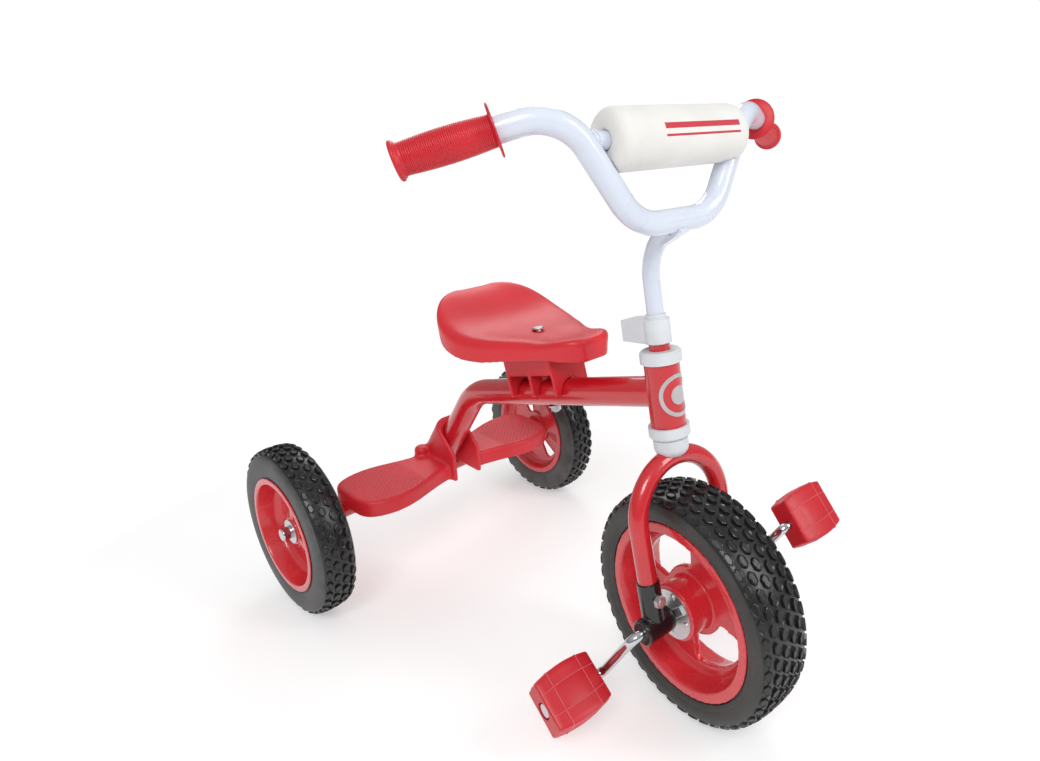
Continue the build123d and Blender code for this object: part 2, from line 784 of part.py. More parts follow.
def hub_plate(side):
    # a pressed disc whose raised channel grips the crank's drive lug
    plate = extrude(Circle(hub_plate_radius), hub_plate_thickness)
    outer = Box(drive_channel_length, drive_channel_width, drive_channel_height)
    outer = fillet(outer.faces().sort_by(Axis.Z)[-1].edges(), 1.0)
    plate += Location((0, 0, hub_plate_thickness / 2 + drive_channel_height / 2)) * outer
    hollow = Box(drive_channel_length - 2 * drive_channel_wall,
                 drive_channel_width - 2 * drive_channel_wall, drive_channel_height)
    plate -= Location((0, 0, drive_channel_height / 2)) * hollow
    plate -= Cylinder(crank_rod_radius + 0.1, 40)
    for place in hub_screw_places(side):
        local = hub_face(side).inverse() * place
        plate -= local * Cylinder(hub_screw_radius + 0.1, 40)
    return fork_frame * hub_face(side) * Location((0, 0, seat_gap)) * plate


def hub_screws():
    face = hub_plate_thickness + 2 * seat_gap
    screws = []
    for side in (-1, 1):
        for place in hub_screw_places(side):
            head = Location((0, 0, face)) * extrude(Circle(hub_screw_head), hub_screw_head_height)
            head = fillet(head.edges().sort_by(Axis.Z)[-1], 0.9)
            shank = extrude(Circle(hub_screw_radius), hub_screw_length)
            shank = Location((0, 0, face - hub_screw_length)) * shank
            screws.append(fork_frame * place * (head + shank))
    return Compound(screws)


def crank_path():
    start = crank_spindle_start
    bend_at = fork_half_width + fork_end_barrel_length / 2 + crank_bend + 1
    tip = start + pedal_start + pedal_length - 2
    points = [(crank_radius, -tip, 0), (crank_radius, -start, 0), (0, -bend_at, 0),
              (0, bend_at, 0), (-crank_radius, start, 0), (-crank_radius, tip, 0)]
    return FilletPolyline(*points, radius=crank_bend)


def crank_axle():
    rod_shape = rod(crank_path(), crank_rod_radius)
    shape = crank_frame * rod_shape
    for side in (-1, 1):
        lug = Box(drive_lug_length, drive_channel_width - 2 * (drive_channel_wall + 0.2),
                  drive_lug_thickness)
        place = fork_frame * hub_face(side)
        shape += place * Location((0, 0, hub_plate_thickness + drive_lug_thickness / 2 + 0.1)) * lug
    return shape


def pedal_middle(side):
    start = crank_spindle_start + pedal_start
    return Location((side * -crank_radius, side * (start + pedal_length / 2), 0))


def pedal_frame(side):
    tilt = pedal_tilt_right if side < 0 else pedal_tilt_left
    level = crank_rest - rake - tilt
    return crank_frame * pedal_middle(side) * Location((0, 0, 0), (0, level, 0))


def pedal_section(wide, high):
    return RectangleRounded(wide, high, pedal_corner)


def pedal_block():
    # a barrel-shaped block: three sections joined by a smooth skin along Y
    half = pedal_length / 2
    sections = []
    for y, wide, high in ((-half, pedal_end_width, pedal_end_height),
                          (-half * 0.5, pedal_width - pedal_barrel,
                           pedal_height - 0.6 * pedal_barrel),
                          (0, pedal_width, pedal_height),
                          (half * 0.5, pedal_width - pedal_barrel,
                           pedal_height - 0.6 * pedal_barrel),
                          (half, pedal_end_width, pedal_end_height)):
        place = Plane(origin=(0, y, 0), x_dir=(1, 0, 0), z_dir=(0, 1, 0))
        sections.append(place * pedal_section(wide, high))
    return loft(sections)


def pedal(side):
    block = pedal_block()
    block -= along_y(crank_rod_radius + running_gap, -pedal_length, pedal_length)
    end = pedal_length / 2
    recess = along_y(pedal_push_nut_radius + 1.5, end - pedal_recess, end + 1)
    if side < 0:
        recess = mirrored(recess)
    return pedal_frame(side) * (block - recess)


def pedal_push_nuts():
    # spring caps pressed on the ends of the crank rod, clear of the pedals
    caps = []
    tip = crank_spindle_start + pedal_start + pedal_length - 2
    for side in (-1, 1):
        cap = extrude(Circle(pedal_push_nut_radius), -pedal_push_nut_depth)
        cap = chamfer(cap.edges().sort_by(Axis.Z)[-1], 1.2)
        cap -= Location((0, 0, -1)) * extrude(Circle(crank_rod_radius + seat_gap), -10)
        turn = 90 if side < 0 else -90
        place = Location((side * -crank_radius, side * (tip + 1 + seat_gap), 0), (turn, 0, 0))
        caps.append(crank_frame * place * cap)
    return Compound(caps)


def fork_end(side):
    # a moulded bearing: an upright post that plugs into the leg, over a barrel
    y = side * fork_half_width
    half = fork_end_barrel_length / 2
    barrel = along_y(fork_end_barrel_radius, y - half, y + half)
    barrel = fillet(barrel.edges().filter_by(GeomType.CIRCLE), 2.0)
    post_top = fork_leg_end - seat_gap
    post = Location((0, y, post_top / 2)) * Cylinder(fork_end_post_radius, post_top)
    spigot_radius = fork_tube_radius - fork_tube_wall - seat_gap
    spigot = Location((0, y, post_top + fork_end_spigot_length / 2)) * Cylinder(
        spigot_radius, fork_end_spigot_length)
    body = barrel + post + spigot
    body -= along_y(crank_rod_radius + running_gap, y - 2 * half, y + 2 * half)
    body -= Location((0, y, fork_end_bolt_height), (0, 90, 0)) * Cylinder(
        fork_end_bolt_radius + 0.1, 60)
    return fork_frame * body


def fork_end_bolts():
    face = fork_end_post_radius + seat_gap
    bolts = []
    for side in (-1, 1):
        dome = Sphere(fork_end_dome_radius) & Location((0, 0, 8.4)) * Box(20, 20, 10)
        head = Location((0, 0, face - 3.4)) * dome
        shank = Location((0, 0, -3)) * Cylinder(
            fork_end_bolt_radius, 2 * face + 6)
        place = Location((0, side * fork_half_width, fork_end_bolt_height), (0, -90, 0))
        bolts.append(fork_frame * place * (head + shank))
    return Compound(bolts)


def fork_end_nuts():
    face = fork_end_post_radius + seat_gap
    nuts = []
    for side in (-1, 1):
        nut = hexagon(fork_end_nut_flats, fork_end_nut_height)
        nut -= Cylinder(fork_end_bolt_radius + seat_gap, 30)
        nut = Location((0, 0, face)) * nut
        place = Location((0, side * fork_half_width, fork_end_bolt_height), (0, 90, 0))
        nuts.append(fork_frame * place * nut)
    return Compound(nuts)


def rear_wheel_place():
    return Location((rear_axle_x, -rear_track / 2, rear_tyre_radius))


def rear_tyre():
    seat = rear_tyre_radius - rear_rim_seat_depth
    lip = rear_tyre_radius - rear_rim_lip_depth
    shape = tyre(rear_tyre_radius, rear_tyre_width / 2, rear_tyre_shoulder, seat, lip,
                 rear_rim_half_width - rear_rim_lip_thickness)
    return rear_wheel_place() * shape


def rear_rim():
    # a deep bowl open to the outside, with the hub standing up in the middle
    lip = rear_tyre_radius - rear_rim_lip_depth
    seat = rear_tyre_radius - rear_rim_seat_depth - seat_gap
    face = rear_rim_half_width
    ledge = face - rear_rim_lip_thickness
    bore = rear_bush_radius
    points = [(bore, -rear_hub_outer), (rear_hub_radius, -rear_hub_outer),
              (rear_hub_radius + 1, rear_web_outer),
              (seat - 12, rear_web_outer), (seat - 7, -2), (seat - 3, -face),
              (lip, -face), (lip, -ledge), (seat, -ledge), (seat, ledge), (lip, ledge),
              (lip, face), (seat - 3, face), (seat - 7, rear_web_inner + 4), (seat - 12, rear_web_inner),
              (rear_hub_radius + 1, rear_web_inner), (rear_hub_radius, rear_hub_inner),
              (bore, rear_hub_inner)]
    rim = turned(points)
    rim -= window_cutter(rear_hub_radius + rear_window_margin, seat - 16,
                         rear_window_angle, 3, 90)
    return rear_wheel_place() * rim


def rear_bushes():
    # a flanged bush pressed into each end of the hub
    bushes = []
    for face, turn in ((-rear_hub_outer, 90), (rear_hub_inner, -90)):
        bush = Cylinder(rear_bush_radius - seat_gap, rear_bush_length)
        bush -= Cylinder(axle_radius + running_gap, 20)
        bushes.append(rear_wheel_place() * Location((0, face, 0), (turn, 0, 0))
                      * Location((0, 0, -rear_bush_length / 2)) * bush)
    return Compound(bushes)


def rear_axle_rod():
    end = rear_track / 2 + rear_hub_outer + axle_washer_thickness + axle_nut_height - 2
    return Location(rear_axle) * along_y(axle_radius, -end, end)


def axle_washers():
    ring = Cylinder(axle_washer_radius, axle_washer_thickness)
    ring -= Cylinder(axle_radius + seat_gap, 10)
    outside = rear_track / 2 + rear_hub_outer + axle_washer_thickness / 2 + body_gap
    inside = rear_track / 2 - rear_hub_inner - axle_washer_thickness / 2 - body_gap
    rings = []
    for side in (-1, 1):
        for y in (outside, inside):
            rings.append(Location(rear_axle) * Location((0, side * y, 0), (90, 0, 0)) * ring)
    return Compound(rings)


def axle_cap_nuts():
    nuts = []
    start = rear_track / 2 + rear_hub_outer + axle_washer_thickness + body_gap + seat_gap
    for side in (-1, 1):
        cap = extrude(Circle(axle_nut_radius), axle_nut_height)
        cap = fillet(cap.edges().sort_by(Axis.Z)[-1], 2.0)
        cap -= extrude(Circle(axle_radius + seat_gap), axle_nut_height - 1.5)
        turn = 90 if side < 0 else -90
        nuts.append(Location(rear_axle) * Location((0, side * start, 0), (turn, 0, 0)) * cap)
    return Compound(nuts)


def deck_screws():
    # pan heads sunk in the collar, biting through the wall of the backbone
    screws = []
    reach = collar_back - deck_screw_sink - backbone_radius + deck_screw_bite
    for height in deck_screw_heights:
        head = Location((0, 0, seat_gap)) * extrude(
            Circle(deck_screw_head), deck_screw_head_height)
        head = fillet(head.edges().sort_by(Axis.Z)[-1], 1.0)
        shank = Location((0, 0, -reach)) * extrude(
            Circle(deck_screw_radius - seat_gap), reach + seat_gap)
        screws.append(deck_screw_place(height) * (head + shank))
    return Compound(screws)


def seat_mount():
    # a box under the seat; its cross walls come down and straddle the tube
    tall = seat_mount_blank
    wide = 2 * seat_mount_half_width
    long = seat_mount_length
    wall = seat_mount_wall
    low = backbone_radius + seat_mount_floor
    frame = Location((0, 0, low + tall / 2)) * (
        Box(long, wide, tall) - Box(long - 2 * wall, wide - 2 * wall, tall))
    for x in (-(long - wall) / 2, 0, (long - wall) / 2):
        frame += Location((x, 0, tall / 2)) * Box(wall, wide, tall)
    frame += Location((0, 0, tall / 2)) * Cylinder(seat_bolt_radius + seat_mount_boss_wall, tall)
    mount = tube_frame(seat_bolt_place) * Location((seat_mount_shift, 0, 0)) * frame
    mount -= rod(backbone_path(), backbone_radius + seat_gap)
    mount -= tube_frame(seat_bolt_place) * Cylinder(seat_bolt_radius + seat_bolt_clearance,
                                                     3 * tall)
    mount &= seat_hollow()
    return max(mount.solids(), key=lambda s: s.volume)


def seat_hollow():
    # everything below the underside of the seat skin
    return loft(seat_sections(seat_wall + seat_gap, 90))


def seat_bolt(shell):
    # its dome head rests on the highest part of the dish under it
    place = tube_frame(seat_bolt_place)
    patch = place.inverse() * shell & Location((0, 0, 100)) * Cylinder(seat_bolt_head, 200)
    top = patch.bounding_box().max.Z + seat_gap
    bottom = -backbone_radius - seat_nut_height - seat_bolt_tail
    shank = extrude(Circle(seat_bolt_radius), top - bottom)
    head = Location((0, 0, top - bottom)) * extrude(Circle(seat_bolt_head), seat_bolt_head_height)
    head = fillet(head.edges().sort_by(Axis.Z)[-1], 1.8)
    return place * Location((0, 0, bottom)) * (shank + head)


def seat_nut():
    place = tube_frame(seat_bolt_place)
    washer = extrude(Circle(seat_washer_radius), seat_washer_thickness)
    nut = washer + Location((0, 0, -seat_nut_height)) * hexagon(seat_nut_flats, seat_nut_height)
    nut -= Cylinder(seat_bolt_radius + seat_gap, 40)
    return place * Location((0, 0, -backbone_radius - seat_gap - seat_washer_thickness)) * nut


def write_all():
    shell = seat_shell()
    pieces = {
        "head_tube": head_tube(),
        "backbone_tube": backbone_tube(),
        "axle_tube": axle_tube(),
        "upper_head_bush": head_bush(False),
        "lower_head_bush": head_bush(True),
        "head_badge": head_badge(),
        "step_deck": step_deck(),
        "deck_screws": deck_screws(),
        "rear_axle": rear_axle_rod(),
        "axle_washers": axle_washers(),
        "axle_cap_nuts": axle_cap_nuts(),
        "seat_shell": shell,
        "seat_mount": seat_mount(),
        "seat_bolt": seat_bolt(shell),
        "seat_nut": seat_nut(),
        "fork_arch": fork_arch(),
        "steerer_tube": steerer_tube(),
        "crown_cover": crown_cover(),
        "steerer_clamp": steerer_clamp(),
        "clamp_bolt": clamp_bolt(),
        "clamp_nut": clamp_nut(),
        "clamp_cover": clamp_cover(),
        "stem_tube": stem_tube(),
        "stem_gusset": stem_gusset(),
        "handlebar": handlebar(),
        "crossbar": crossbar(),
        "crossbar_pad": crossbar_pad(),
        "grip_left": steering * grip(),
        "grip_right": steering * mirrored(grip()),
        "fork_end_right": fork_end(-1),
        "fork_end_left": fork_end(1),
        "fork_end_bolts": fork_end_bolts(),
        "fork_end_nuts": fork_end_nuts(),
        "front_tyre": front_tyre(),
        "front_rim": front_rim(),
        "hub_plate_right": hub_plate(-1),
        "hub_plate_left": hub_plate(1),
        "hub_screws": hub_screws(),
        "crank_axle": crank_axle(),
        "pedal_push_nuts": pedal_push_nuts(),
        "pedal_right": pedal(-1),
        "pedal_left": pedal(1),
        "rear_tyre_right": rear_tyre(),
        "rear_tyre_left": mirrored(rear_tyre()),
        "rear_rim_right": rear_rim(),
        "rear_rim_left": mirrored(rear_rim()),
        "rear_bushes_right": rear_bushes(),
        "rear_bushes_left": mirrored(rear_bushes()),
    }
    for name, shape in pieces.items():
        export_step(shape, "parts/" + name + ".step")


write_all()
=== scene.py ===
import json
import math
import bmesh
import bpy
from mathutils import Matrix, Vector


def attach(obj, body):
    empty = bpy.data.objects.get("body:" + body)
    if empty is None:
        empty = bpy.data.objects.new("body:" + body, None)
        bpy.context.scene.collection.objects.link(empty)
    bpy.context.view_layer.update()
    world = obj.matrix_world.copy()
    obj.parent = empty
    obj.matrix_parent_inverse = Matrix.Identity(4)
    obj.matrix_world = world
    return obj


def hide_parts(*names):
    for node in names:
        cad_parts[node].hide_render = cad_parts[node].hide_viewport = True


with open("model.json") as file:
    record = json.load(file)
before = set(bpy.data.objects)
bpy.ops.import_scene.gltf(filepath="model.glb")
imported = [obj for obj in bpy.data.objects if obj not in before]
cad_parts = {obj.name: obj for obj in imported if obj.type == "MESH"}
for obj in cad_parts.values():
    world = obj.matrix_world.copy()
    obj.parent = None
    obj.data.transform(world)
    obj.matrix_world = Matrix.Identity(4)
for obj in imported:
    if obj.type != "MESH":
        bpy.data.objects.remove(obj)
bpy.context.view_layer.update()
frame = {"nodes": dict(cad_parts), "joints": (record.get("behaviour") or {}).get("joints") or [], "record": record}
nodes = frame["nodes"]
joints = {joint["name"]: joint for joint in frame["joints"]}
mm = 0.001


# where things are, read from the joints
def axesMatrix(origin, xAxis, yAxis, zAxis):
    matrix = Matrix((xAxis, yAxis, zAxis)).transposed().to_4x4()
    matrix.translation = origin
    return matrix


def steeringPlace():
    # origin at the foot of the steering axis, X forward, Y along the hub, Z up the column
    upAxis = Vector(joints["steer"]["axis"]).normalized()
    sideAxis = Vector(joints["front_wheel_spin"]["axis"]).normalized()
    return axesMatrix(Vector(joints["steer"]["pos_m"]), sideAxis.cross(upAxis), sideAxis, upAxis)


def wheelPlace(jointName, turn=0.0):
    joint = joints[jointName]
    place = steeringPlace() if jointName == "front_wheel_spin" else Matrix()
    place.translation = Vector(joint["pos_m"])
    return place @ Matrix.Rotation(math.radians(turn), 4, "Y")


steering = steeringPlace()
forkRake = 2.9                     # degrees, the legs lean this much from the column
forkPlace = wheelPlace("front_wheel_spin", -forkRake)


# small helpers
def linearColour(hexText):
    parts = [int(hexText[i:i + 2], 16) / 255 for i in (0, 2, 4)]
    return [p / 12.92 if p <= 0.04045 else ((p + 0.055) / 1.055) ** 2.4 for p in parts] + [1.0]


def addNode(tree, kind, inputs=None, **settings):
    node = tree.nodes.new(kind)
    for name, value in settings.items():
        setattr(node, name, value)
    for name, value in (inputs or {}).items():
        if isinstance(value, bpy.types.NodeSocket):
            tree.links.new(value, node.inputs[name])
        else:
            node.inputs[name].default_value = value
    return node


def newMaterial(name, **sockets):
    material = bpy.data.materials.new(name)
    material.use_nodes = True
    shader = material.node_tree.nodes["Principled BSDF"]
    for socket, value in sockets.items():
        shader.inputs[socket.replace("_", " ")].default_value = value
    return material, material.node_tree, shader


def objectPoint(tree):
    return addNode(tree, "ShaderNodeTexCoord").outputs["Object"]


def finishPiece(name, mesh, body, material, stands=(), smooth=35):
    piece = bpy.data.objects.new(name, mesh)
    bpy.context.scene.collection.objects.link(piece)
    if smooth:
        mesh.shade_smooth()
        mesh.set_sharp_from_angle(angle=math.radians(smooth))
    if mesh.materials:
        mesh.materials.clear()
    mesh.materials.append(material)
    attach(piece, body)
    if stands:
        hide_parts(*stands)
    return piece


def meshFrom(bm, name, place=Matrix()):
    bmesh.ops.remove_doubles(bm, verts=bm.verts, dist=0.00001)
    bmesh.ops.transform(bm, matrix=place, verts=bm.verts)
    bmesh.ops.recalc_face_normals(bm, faces=bm.faces)
    mesh = bpy.data.meshes.new(name)
    bm.to_mesh(mesh)
    bm.free()
    return mesh


def profileLine(bm, corners):
    # a chain of edges through (radius, along Y) corners, in millimetres
    verts = [bm.verts.new((0, y * mm, r * mm)) for r, y in corners]
    for a, b in zip(verts, verts[1:]):
        bm.edges.new((a, b))
    return verts


def turnedShape(corners, steps, closed=True):
    bm = bmesh.new()
    verts = profileLine(bm, corners)
    if closed:
        bm.edges.new((verts[-1], verts[0]))
    bmesh.ops.spin(bm, geom=bm.verts[:] + bm.edges[:], cent=(0, 0, 0), axis=(0, 1, 0),
                   angle=2 * math.pi, steps=steps, use_merge=True)
    return bm


# finishes
def powderCoat(name, hexText):
    # polyester powder baked on steel: thick gloss film with a faint orange peel about 2 mm across
    material, tree, shader = newMaterial(name, Roughness=0.26, Coat_Weight=0.7, Coat_Roughness=0.06)
    point = objectPoint(tree)
    cloud = addNode(tree, "ShaderNodeTexNoise", {"Vector": point, "Scale": 14.0, "Detail": 3.0})
    tone = addNode(tree, "ShaderNodeValToRGB", {"Fac": cloud.outputs["Fac"]})
    tone.color_ramp.elements[0].color = [c * 0.86 for c in linearColour(hexText)[:3]] + [1]
    tone.color_ramp.elements[1].color = linearColour(hexText)
    tree.links.new(tone.outputs["Color"], shader.inputs["Base Color"])
    peel = addNode(tree, "ShaderNodeTexNoise", {"Vector": point, "Scale": 480.0, "Detail": 1.0})
    relief = addNode(tree, "ShaderNodeBump", {"Height": peel.outputs["Fac"], "Strength": 0.35,
                                              "Distance": 0.00008})
    tree.links.new(relief.outputs["Normal"], shader.inputs["Normal"])
    haze = addNode(tree, "ShaderNodeMapRange", {"Value": cloud.outputs["Fac"], "To Min": 0.2,
                                                "To Max": 0.34})
    tree.links.new(haze.outputs["Result"], shader.inputs["Roughness"])
    return material


def mouldedPlastic(name, hexText, grain=0.7, gloss=0.36, relief=0.00007, coat=0.0):
    # injection moulded polypropylene: spark eroded grain, soft sheen, faint flow clouds and rubs
    material, tree, shader = newMaterial(name, Roughness=gloss, IOR=1.49, Coat_Weight=coat)
    point = objectPoint(tree)
    flow = addNode(tree, "ShaderNodeTexNoise", {"Vector": point, "Scale": 22.0, "Detail": 5.0,
                                                "Distortion": 0.6})
    tone = addNode(tree, "ShaderNodeValToRGB", {"Fac": flow.outputs["Fac"]})
    tone.color_ramp.elements[0].position = 0.3
    tone.color_ramp.elements[1].position = 0.7
    tone.color_ramp.elements[0].color = [c * 0.88 for c in linearColour(hexText)[:3]] + [1]
    tone.color_ramp.elements[1].color = linearColour(hexText)
    tree.links.new(tone.outputs["Color"], shader.inputs["Base Color"])
    speck = addNode(tree, "ShaderNodeTexNoise", {"Vector": point, "Scale": 1 / (grain * mm),
                                                 "Detail": 2.0})
    rubs = addNode(tree, "ShaderNodeMapping", {"Vector": point, "Rotation": (0.3, 0.5, 0.8),
                                               "Scale": (60.0, 900.0, 500.0)})
    lines = addNode(tree, "ShaderNodeTexNoise", {"Vector": rubs.outputs["Vector"], "Scale": 1.0})
    worn = addNode(tree, "ShaderNodeMapRange", {"Value": lines.outputs["Fac"], "From Min": 0.6,
                                                "From Max": 0.75, "To Min": gloss,
                                                "To Max": gloss + 0.16})
    tree.links.new(worn.outputs["Result"], shader.inputs["Roughness"])
    bump = addNode(tree, "ShaderNodeBump", {"Height": speck.outputs["Fac"], "Strength": 0.5,
                                            "Distance": relief})
    tree.links.new(bump.outputs["Normal"], shader.inputs["Normal"])
    return material


def treadedPlastic(name, hexText):
    # the step plates: the same moulding with a raised diamond tread, 5 mm pitch, on the outer part
    material = mouldedPlastic(name, hexText, grain=0.9, gloss=0.42)
    tree = material.node_tree
    shader = tree.nodes["Principled BSDF"]
    grainBump = [n for n in tree.nodes if n.bl_idname == "ShaderNodeBump"][0]
    point = objectPoint(tree)
    across = addNode(tree, "ShaderNodeSeparateXYZ", {"Vector": point})
    waves = []
    for turn in (1, -1):
        slant = addNode(tree, "ShaderNodeMath", {0: across.outputs["Y"], 1: turn * 1.0},
                        operation="MULTIPLY")
        both = addNode(tree, "ShaderNodeMath", {0: across.outputs["X"], 1: slant.outputs[0]},
                       operation="ADD")
        phase = addNode(tree, "ShaderNodeMath", {0: both.outputs[0], 1: 2 * math.pi / (7.0 * mm)},
                        operation="MULTIPLY")
        wave = addNode(tree, "ShaderNodeMath", {0: phase.outputs[0]}, operation="SINE")
        waves.append(wave.outputs[0])
    net = addNode(tree, "ShaderNodeMath", {0: waves[0], 1: waves[1]}, operation="MAXIMUM")
    ridge = addNode(tree, "ShaderNodeMapRange", {"Value": net.outputs[0], "From Min": 0.5,
                                                 "From Max": 1.0})
    side = addNode(tree, "ShaderNodeMath", {0: across.outputs["Y"]}, operation="ABSOLUTE")
    outer = addNode(tree, "ShaderNodeMapRange", {"Value": side.outputs[0], "From Min": 0.060,
                                                 "From Max": 0.066})
    facing = addNode(tree, "ShaderNodeSeparateXYZ",
                     {"Vector": addNode(tree, "ShaderNodeNewGeometry").outputs["True Normal"]})
    top = addNode(tree, "ShaderNodeMapRange", {"Value": facing.outputs["Z"], "From Min": 0.93,
                                               "From Max": 0.99})
    masked = addNode(tree, "ShaderNodeMath", {0: ridge.outputs[0], 1: outer.outputs[0]},
                     operation="MULTIPLY")
    shown = addNode(tree, "ShaderNodeMath", {0: masked.outputs[0], 1: top.outputs[0]},
                    operation="MULTIPLY")
    tread = addNode(tree, "ShaderNodeBump", {"Height": shown.outputs[0], "Strength": 0.55,
                                             "Distance": 0.0008,
                                             "Normal": grainBump.outputs["Normal"]})
    tree.links.new(tread.outputs["Normal"], shader.inputs["Normal"])
    return material


def tyreCompound(name, hexText, dustHex, shine=0.42, matt=0.66):
    # black moulded tyre compound: matt, mould bloom in patches and fine grain from the tool
    material, tree, shader = newMaterial(name, Roughness=0.55, IOR=1.52)
    point = objectPoint(tree)
    bloom = addNode(tree, "ShaderNodeTexNoise", {"Vector": point, "Scale": 30.0, "Detail": 6.0,
                                                 "Roughness": 0.65})
    tone = addNode(tree, "ShaderNodeValToRGB", {"Fac": bloom.outputs["Fac"]})
    tone.color_ramp.elements[0].position = 0.35
    tone.color_ramp.elements[1].position = 0.75
    tone.color_ramp.elements[0].color = linearColour(hexText)
    tone.color_ramp.elements[1].color = linearColour(dustHex)
    tree.links.new(tone.outputs["Color"], shader.inputs["Base Color"])
    dull = addNode(tree, "ShaderNodeMapRange", {"Value": bloom.outputs["Fac"], "To Min": shine,
                                                "To Max": matt})
    tree.links.new(dull.outputs["Result"], shader.inputs["Roughness"])
    fine = addNode(tree, "ShaderNodeTexNoise", {"Vector": point, "Scale": 1100.0, "Detail": 2.0})
    bump = addNode(tree, "ShaderNodeBump", {"Height": fine.outputs["Fac"], "Strength": 0.5,
                                            "Distance": 0.0001})
    tree.links.new(bump.outputs["Normal"], shader.inputs["Normal"])
    return material


def platedSteel(name, hexText, roughness, streak=0.1, relief=0.00003):
    # electroplated steel: bright metal, streaks from the rack and fine pits in the plate
    material, tree, shader = newMaterial(name, Metallic=1.0, Roughness=roughness)
    point = objectPoint(tree)
    cloud = addNode(tree, "ShaderNodeTexNoise", {"Vector": point, "Scale": 120.0, "Detail": 4.0})
    tone = addNode(tree, "ShaderNodeValToRGB", {"Fac": cloud.outputs["Fac"]})
    tone.color_ramp.elements[0].color = [c * 0.78 for c in linearColour(hexText)[:3]] + [1]
    tone.color_ramp.elements[1].color = linearColour(hexText)
    tree.links.new(tone.outputs["Color"], shader.inputs["Base Color"])
    dull = addNode(tree, "ShaderNodeMapRange", {"Value": cloud.outputs["Fac"],
                                                "To Min": max(0.04, roughness - streak),
                                                "To Max": roughness + streak})
    tree.links.new(dull.outputs["Result"], shader.inputs["Roughness"])
    pits = addNode(tree, "ShaderNodeTexNoise", {"Vector": point, "Scale": 1600.0})
    bump = addNode(tree, "ShaderNodeBump", {"Height": pits.outputs["Fac"], "Strength": 0.4,
                                            "Distance": relief})
    tree.links.new(bump.outputs["Normal"], shader.inputs["Normal"])
    return material


def closedCellFoam(name, hexText, shadeHex, place, stripes):
    # skinned closed cell foam: matt, pebbled skin about 1.5 mm a cell, soft scatter of light
    material, tree, shader = newMaterial(name, Roughness=0.75, Sheen_Weight=0.15, Sheen_Roughness=0.5)
    point = objectPoint(tree)
    cloud = addNode(tree, "ShaderNodeTexNoise", {"Vector": point, "Scale": 26.0, "Detail": 5.0})
    tone = addNode(tree, "ShaderNodeValToRGB", {"Fac": cloud.outputs["Fac"]})
    tone.color_ramp.elements[0].position = 0.3
    tone.color_ramp.elements[0].color = linearColour(shadeHex)
    tone.color_ramp.elements[1].color = linearColour(hexText)
    # two plain printed bands along the front of the roll
    turn = place.to_euler()
    local = addNode(tree, "ShaderNodeMapping", {"Vector": point}, vector_type="TEXTURE")
    local.inputs["Location"].default_value = place.translation
    local.inputs["Rotation"].default_value = turn
    part = addNode(tree, "ShaderNodeSeparateXYZ", {"Vector": local.outputs["Vector"]})
    along = addNode(tree, "ShaderNodeMath", {0: part.outputs["Y"], 1: -stripes["centre"] * mm},
                    operation="ADD")
    reach = addNode(tree, "ShaderNodeMath", {0: along.outputs[0]}, operation="ABSOLUTE")
    ends = addNode(tree, "ShaderNodeMath", {0: reach.outputs[0], 1: stripes["halfLength"] * mm},
                   operation="LESS_THAN")
    front = addNode(tree, "ShaderNodeMath", {0: part.outputs["X"], 1: 0.0}, operation="GREATER_THAN")
    inked = addNode(tree, "ShaderNodeMath", {0: ends.outputs[0], 1: front.outputs[0]},
                    operation="MULTIPLY")
    bands = None
    for height, width in stripes["bands"]:
        offset = addNode(tree, "ShaderNodeMath", {0: part.outputs["Z"], 1: -height * mm},
                         operation="ADD")
        gap = addNode(tree, "ShaderNodeMath", {0: offset.outputs[0]}, operation="ABSOLUTE")
        band = addNode(tree, "ShaderNodeMath", {0: gap.outputs[0], 1: width * mm / 2},
                       operation="LESS_THAN")
        bands = band if bands is None else addNode(
            tree, "ShaderNodeMath", {0: bands.outputs[0], 1: band.outputs[0]}, operation="MAXIMUM")
    printed = addNode(tree, "ShaderNodeMath", {0: bands.outputs[0], 1: inked.outputs[0]},
                      operation="MULTIPLY")
    ink = addNode(tree, "ShaderNodeMix", {0: printed.outputs[0], 6: tone.outputs["Color"]},
                  data_type="RGBA")
    ink.inputs[7].default_value = linearColour(stripes["ink"])
    tree.links.new(ink.outputs[2], shader.inputs["Base Color"])
    cells = addNode(tree, "ShaderNodeTexVoronoi", {"Vector": point, "Scale": 620.0})
    bump = addNode(tree, "ShaderNodeBump", {"Height": cells.outputs["Distance"], "Strength": 0.35,
                                            "Distance": 0.00025})
    tree.links.new(bump.outputs["Normal"], shader.inputs["Normal"])
    return material


print("finishes")
redCoat = powderCoat("polyester powder coat, red", "CC1723")
whiteCoat = powderCoat("polyester powder coat, white", "D9E0EE")
seatPlastic = mouldedPlastic("moulded polypropylene, seat red", "DA2430", grain=0.9, gloss=0.4)
rimPlastic = mouldedPlastic("moulded polypropylene, wheel red", "D92F38", gloss=0.24, coat=0.5)
pedalPlastic = mouldedPlastic("moulded polypropylene, pedal red", "C91826", gloss=0.38)
# the lighter pink on the pedal ribs is a painted highlight along the fine ridges, not wear
ribHighlightPlastic = mouldedPlastic("moulded polypropylene, rib painted highlight", "E4707A", gloss=0.3)
deckPlastic = treadedPlastic("moulded polypropylene, treaded step red", "D42733")
whitePlastic = mouldedPlastic("moulded nylon, white", "DADDE2", grain=0.5, gloss=0.34, relief=0.00004)
blackPlastic = mouldedPlastic("moulded nylon, black", "131316", gloss=0.24, relief=0.00004, coat=0.3)
gripVinyl = mouldedPlastic("soft dip moulded vinyl, red", "CC1C29", grain=0.6, gloss=0.42)
frontTyreSkin = tyreCompound("EVA tyre compound, black", "2A2A28", "40403D")
rearTyreSkin = tyreCompound("EVA tyre compound, bloomed black", "353535", "5C5C5C")
treadSkin = tyreCompound("EVA tyre compound, polished tread", "161617", "222224", 0.2, 0.38)
zincPlate = platedSteel("zinc plated steel", "E2E3E4", 0.42)
